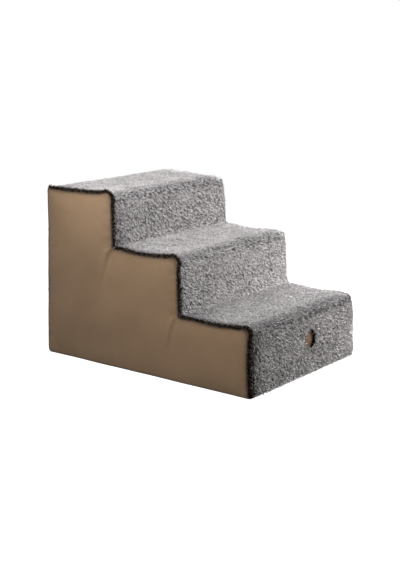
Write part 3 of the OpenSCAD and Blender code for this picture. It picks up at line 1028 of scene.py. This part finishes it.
# At the low step the roll is wider, and on the left it sits higher than on the right, so more of its
# near-black shows there; this is partly painted shade on the side away from the lamps.
low_binding_width = 10.5 * mm
binding_lifts = {"left": 8.8 * mm, "right": 3.2 * mm}
binding_tucks = {"left": 0, "right": 4 * mm}
binding_from = math.radians(-130)
binding_to = math.radians(120)
binding_dark = "#1b1510"
binding_light = "#2a211a"
fuzz_root_painted_shade = "#120e0b"
fuzz_middle = "#29211b"
fuzz_tip = "#75695f"
fuzz_length = 4.6 * mm
fuzz_width = 1.7 * mm
fuzz_lean = math.radians(38)
fuzz_scatter = math.radians(60)
fuzz_curl = math.radians(60)
fuzz_root_scatter = 0.9 * mm
strand_root_scatter = 1.2 * mm
sunk_roots = 1.2 * mm
fuzz_from = {"left": -0.2, "right": 0.8}
strands_from = -0.8
strands_to = {"left": 0.3, "right": 0.9}
binding_square = 3.6 * mm
binding_end = 4 * mm
left_strand_painted_shade = 0.15
binding_finish = sherpa_finish("dark_brown_pile_edge", fuzz_root_painted_shade, fuzz_middle, fuzz_tip, 0)
binding_cloth = polyester_finish("dark_brown_knit_edge", binding_light, binding_dark, roughness=0.95)
on_surface(binding_cloth, {"Specular IOR Level": 0, "Sheen Weight": 0})
fuzz = make_lock(fuzz_length, fuzz_width, fuzz_curl, lock_rings)


def held(middle, scatter, low, high, count):
    """Random values around a middle, held between two ends."""
    return np.clip(middle + scatter * rng.normal(0, 1, count), low, high)


def roots_on(strip, facing, scatter, low, high=math.inf):
    """Roots of locks, two on each face of a strip that faces out by low to high."""
    centres, outs = faces_of(strip)
    facing_out = outs[:, 0] * facing
    chosen = (facing_out > low) & (facing_out < high)
    centres, outs = np.repeat(centres[chosen], 2, 0), np.repeat(outs[chosen], 2, 0)
    return centres + rng.normal(0, scatter, centres.shape) - outs * sunk_roots, outs


for hand, facing in sides.items():
    roll = bmesh.new()
    bmesh.ops.create_grid(roll, x_segments=8, y_segments=round(stations[-1] / binding_square), size=0.5)
    for vert in roll.verts:
        turn = binding_from + (vert.co.x + 0.5) * (binding_to - binding_from)
        along = (vert.co.y + 0.5) * (stations[-1] - binding_end)
        low_share = 1 / (1 + math.exp((along - nosings[0]) / nosing_reach))
        steepness = np.interp(along, stations, np.abs(heading[:, 1]))
        radius = tread_binding_radius + (binding_radius - tread_binding_radius) * steepness
        width = radius + (low_binding_width - radius) * low_share
        x = stair_half - binding_tucks[hand] - width * (1 - math.cos(turn))
        vert.co = on_steps(facing * x, along, binding_lifts[hand] + radius * math.sin(turn))
    if facing > 0:
        bmesh.ops.reverse_faces(roll, faces=roll.faces)
    roll.normal_update()
    strip = piece_of(roll, "binding_" + hand, binding_cloth, ["edge_binding_" + hand])
    waver(strip)
    roots, ups = roots_on(strip, facing, fuzz_root_scatter, fuzz_from[hand])
    count = len(roots)
    shade = held(0.4, 0.25, 0, 1, count)
    size = held(1, 0.2, 0.5, 1.5, count)
    grow_pile("binding_fuzz_" + hand, binding_finish, roots, ups, fuzz, fuzz_lean, fuzz_scatter,
              shade, size)
    roots, ups = roots_on(strip, facing, strand_root_scatter, strands_from, strands_to[hand])
    count = len(roots)
    # On the left, away from the lamps, the strands over the edge are painted darker towards it as shade; on
    # the right they take the low riser's tone.
    towards_edge = 0.5 + 0.5 * ups[:, 0] * facing
    if facing < 0:
        shade = left_strand_painted_shade + 0.25 * rng.normal(0, 1, count) - 0.3 * towards_edge
    else:
        shade = riser_painted_light["low"] + 0.25 * rng.normal(0, 1, count)
    shade = np.clip(shade, -0.4, 1)
    size = held(0.75, 0.15, 0.4, 1.2, count)
    grow_pile("pile_over_edge_" + hand, pile_finish, roots, ups, lock, lock_lean, fuzz_scatter,
              shade, size)

# The badge: a bare round of vegetable-tanned leather on a slightly larger round of beige felt, sewn with a
# ring of brown stitches to the knitted base, so that it lies at the bottom of a well in the pile. The well's
# wall is painted near-black, as shade.
well_height = knit_lift
felt_thickness = 0.8 * mm
felt_edge = 0.3 * mm
leather_thickness = 1.4 * mm
stitch_count = 24
stitch_length = 2.6 * mm
stitch_radius = 0.45 * mm
stitch_dip = 0.25 * mm
stitch_dip_reach = 0.9 * mm
thread_fibre = 0.4 * mm
leather_cloud = 9 * mm
leather_brown = "#735539"
leather_deep = "#594029"
leather_grain = 1.3 * mm
leather_edge = 0.5 * mm
leather_crown = 0.5 * mm
felt_beige = "#c9bba6"
felt_pale = "#dacfbf"
felt_fibre = 0.9 * mm
thread_brown = "#4c3929"
thread_pale = "#665040"
k = seam_tree.find((0, *badge_centre.yz))[1]
badge_up = Vector((0, *heading[k]))
badge_out = Vector((0, *outward[k]))
badge_turn = Matrix((Vector((1, 0, 0)), badge_up, badge_out)).transposed().to_4x4()


def felt_finish(name, body, hairs, fibre):
    """Pressed wool felt: dull, close and slightly hairy, with no weave."""
    levels = {"Roughness": 1.0, "Sheen Weight": 0.3}
    return patterned_finish(name, levels, [(0.35, body), (0.65, hairs)], fibre / 3, "TexNoise", 1 / fibre,
                            inputs={"Detail": 3})


def leather_finish(name, body, deep, grain):
    """Leather: a fine pebbled grain, darker in its creases, with a low waxed shine."""
    finish = new_finish(name, {"Roughness": 0.6, "Specular IOR Level": 0.25})
    pebbles = pattern(finish, "TexVoronoi", 1 / grain, "Distance", feature="F1")
    clouds = cloudy(finish, leather_cloud, 4)
    mixed = add(finish, "Math", {0: pebbles, 1: -0.5, 2: clouds}, operation="MULTIPLY_ADD")
    tone = tint(finish, mixed.outputs[0], [(0.05, deep), (0.5, body)])
    return lay_on(finish, tone, pebbles, -grain / 6)


def round_of(radius, thickness, edge, crown):
    """A round cut from sheet: its edge a little rounded and its face a little crowned."""
    shape = bmesh.new()
    bmesh.ops.create_cone(shape, cap_ends=True, segments=64, radius1=radius, radius2=radius, depth=thickness)
    soften_edges(shape, edge, 3)
    face = max(shape.faces, key=lambda face: face.calc_center_median().z)
    for _ in range(6):
        bmesh.ops.inset_region(shape, faces=[face], thickness=radius / 7.5)
    bmesh.ops.poke(shape, faces=[face])
    for vert in shape.verts:
        if vert.co.z > 0:
            vert.co.z += crown * (1 - (vert.co.xy.length / radius) ** 2)
    return shape


def seat(shape, place):
    """Moves a shape from the origin to a place at the badge, turned to lie on the riser."""
    bmesh.ops.transform(shape, matrix=Matrix.Translation(place) @ badge_turn, verts=shape.verts)


# The well's wall wears the near-black edge cloth: painted shade on the cut wall of the pile.
well = bmesh.new()
bmesh.ops.create_cone(well, cap_ends=False, segments=48, radius1=well_radius, radius2=well_radius,
                      depth=well_height)
bmesh.ops.reverse_faces(well, faces=well.faces)
seat(well, badge_centre + badge_out * well_height / 2)
piece_of(well, "badge_well_painted_shade", binding_cloth)

leather_centre, leather_radius = round_node("badge_leather")
stitch_ring = round_node("badge_stitches")[1] - stitch_radius
felt_finish_beige = felt_finish("beige_wool_felt", felt_beige, felt_pale, felt_fibre)
leather = leather_finish("brown_leather", leather_brown, leather_deep, leather_grain)
thread_finish = felt_finish("brown_sewing_thread", thread_brown, thread_pale, thread_fibre)
felt_round = round_of(badge_radius, felt_thickness, felt_edge, 0)
seat(felt_round, badge_centre)
piece_of(felt_round, "badge_backing", felt_finish_beige, ["badge_felt"])
leather_round = round_of(leather_radius, leather_thickness, leather_edge, leather_crown)
for vert in leather_round.verts:
    if vert.co.z > 0:
        vert.co.z -= stitch_dip * math.exp(-((vert.co.xy.length - stitch_ring) / stitch_dip_reach) ** 2)
seat(leather_round, leather_centre)
piece_of(leather_round, "badge_round", leather, ["badge_leather"])
stitches = bmesh.new()
for k in range(stitch_count):
    turned = Matrix.Rotation(math.tau * k / stitch_count, 4, "Z")
    placed = Matrix.Translation((stitch_ring, 0, leather_thickness / 2 + stitch_dip))
    long = Matrix.Diagonal((1, stitch_length / 2 / stitch_radius, 0.8, 1))
    bmesh.ops.create_uvsphere(stitches, u_segments=8, v_segments=6, radius=stitch_radius,
                              matrix=turned @ placed @ long)
seat(stitches, leather_centre)
piece_of(stitches, "badge_sewing", thread_finish, ["badge_stitches"])

# The photographer's table: a pale floor that glows white to the camera but is dull to the stairs, one lamp
# close on the right in front, and weaker ones over and beside the stairs and behind them.
camera_place = Vector((-2058.2, -1585.6, 768.7)) * mm
camera_azimuth = math.radians(-52.348)
camera_elevation = math.radians(13.056)
photo_long_side = 570
focal_pixels = 1128.9
sensor = 36.0
floor_half = 30
floor_glow = 0.88
floor_white = (0.8, 0.8, 0.8, 1)
floor_dull = (0.17, 0.155, 0.14, 1)
sky_light = 0.16
lamp_aim = Vector((0, 0, 0.15))
camera_data = bpy.data.cameras.new("camera")
camera_data.sensor_width = sensor
camera_data.lens = focal_pixels * sensor / photo_long_side
camera = bpy.data.objects.new("camera", camera_data)
camera.location = camera_place
camera.rotation_euler = (math.radians(90) - camera_elevation, 0, camera_azimuth)
scene.collection.objects.link(camera)
scene.camera = camera

floor_shape = bmesh.new()
bmesh.ops.create_grid(floor_shape, x_segments=1, y_segments=1, size=2 * floor_half)
floor_mesh = bpy.data.meshes.new("floor")
floor_shape.to_mesh(floor_mesh)
floor_shape.free()
floor = bpy.data.objects.new("floor", floor_mesh)
scene.collection.objects.link(floor)
floor_finish = bpy.data.materials.new("pale_floor")
floor_finish.use_nodes = True
tree = floor_finish.node_tree
tree.nodes.remove(tree.nodes["Principled BSDF"])
ray = add(floor_finish, "LightPath")
seen = add(floor_finish, "Math", {0: ray.outputs["Is Camera Ray"], 1: ray.outputs["Is Glossy Ray"]},
           operation="MAXIMUM")
white = add(floor_finish, "BsdfDiffuse", {"Color": floor_white})
glow = add(floor_finish, "Emission", {"Color": (1, 1, 1, 1), "Strength": floor_glow})
paper = add(floor_finish, "AddShader", {0: white.outputs[0], 1: glow.outputs[0]})
dull = add(floor_finish, "BsdfDiffuse", {"Color": floor_dull})
both = add(floor_finish, "MixShader", {0: seen.outputs[0], 1: dull.outputs[0], 2: paper.outputs[0]})
tree.links.new(both.outputs[0], tree.nodes["Material Output"].inputs["Surface"])
floor_mesh.materials.append(floor_finish)

world = bpy.data.worlds.new("studio")
scene.world = world
world.use_nodes = True
ray = add(world, "LightPath").outputs["Is Camera Ray"]
plain = add(world, "MapRange", {"Value": ray, "To Min": sky_light}).outputs["Result"]
feed(world, world.node_tree.nodes["Background"], {"Color": (1, 1, 1, 1), "Strength": plain})

lamps = {
    "window": ((1.1, -1.1, 0.45), 0.4, 8.0),
    "right": ((0.75, -0.6, 0.42), 0.4, 12.6),
    "side": ((-0.42, 0.06, 0.75), 0.2, 1.9),
    "left": ((-0.7, -0.5, 0.7), 0.3, 1.3),
    "over": ((0.25, 0.3, 1.0), 0.3, 2.85),
    "back": ((0.2, 2.2, 0.2), 0.8, 24.0),
}
for name, (place, size, power) in lamps.items():
    lamp_data = bpy.data.lights.new(name, "AREA")
    lamp_data.shape = "DISK"
    lamp_data.size = size
    lamp_data.energy = power
    lamp = bpy.data.objects.new(name, lamp_data)
    lamp.location = place
    lamp.rotation_euler = (lamp_aim - Vector(place)).to_track_quat("-Z", "Y").to_euler()
    lamp.visible_camera = False
    lamp.visible_glossy = name != "back"
    scene.collection.objects.link(lamp)

scene.view_settings.view_transform = "Standard"
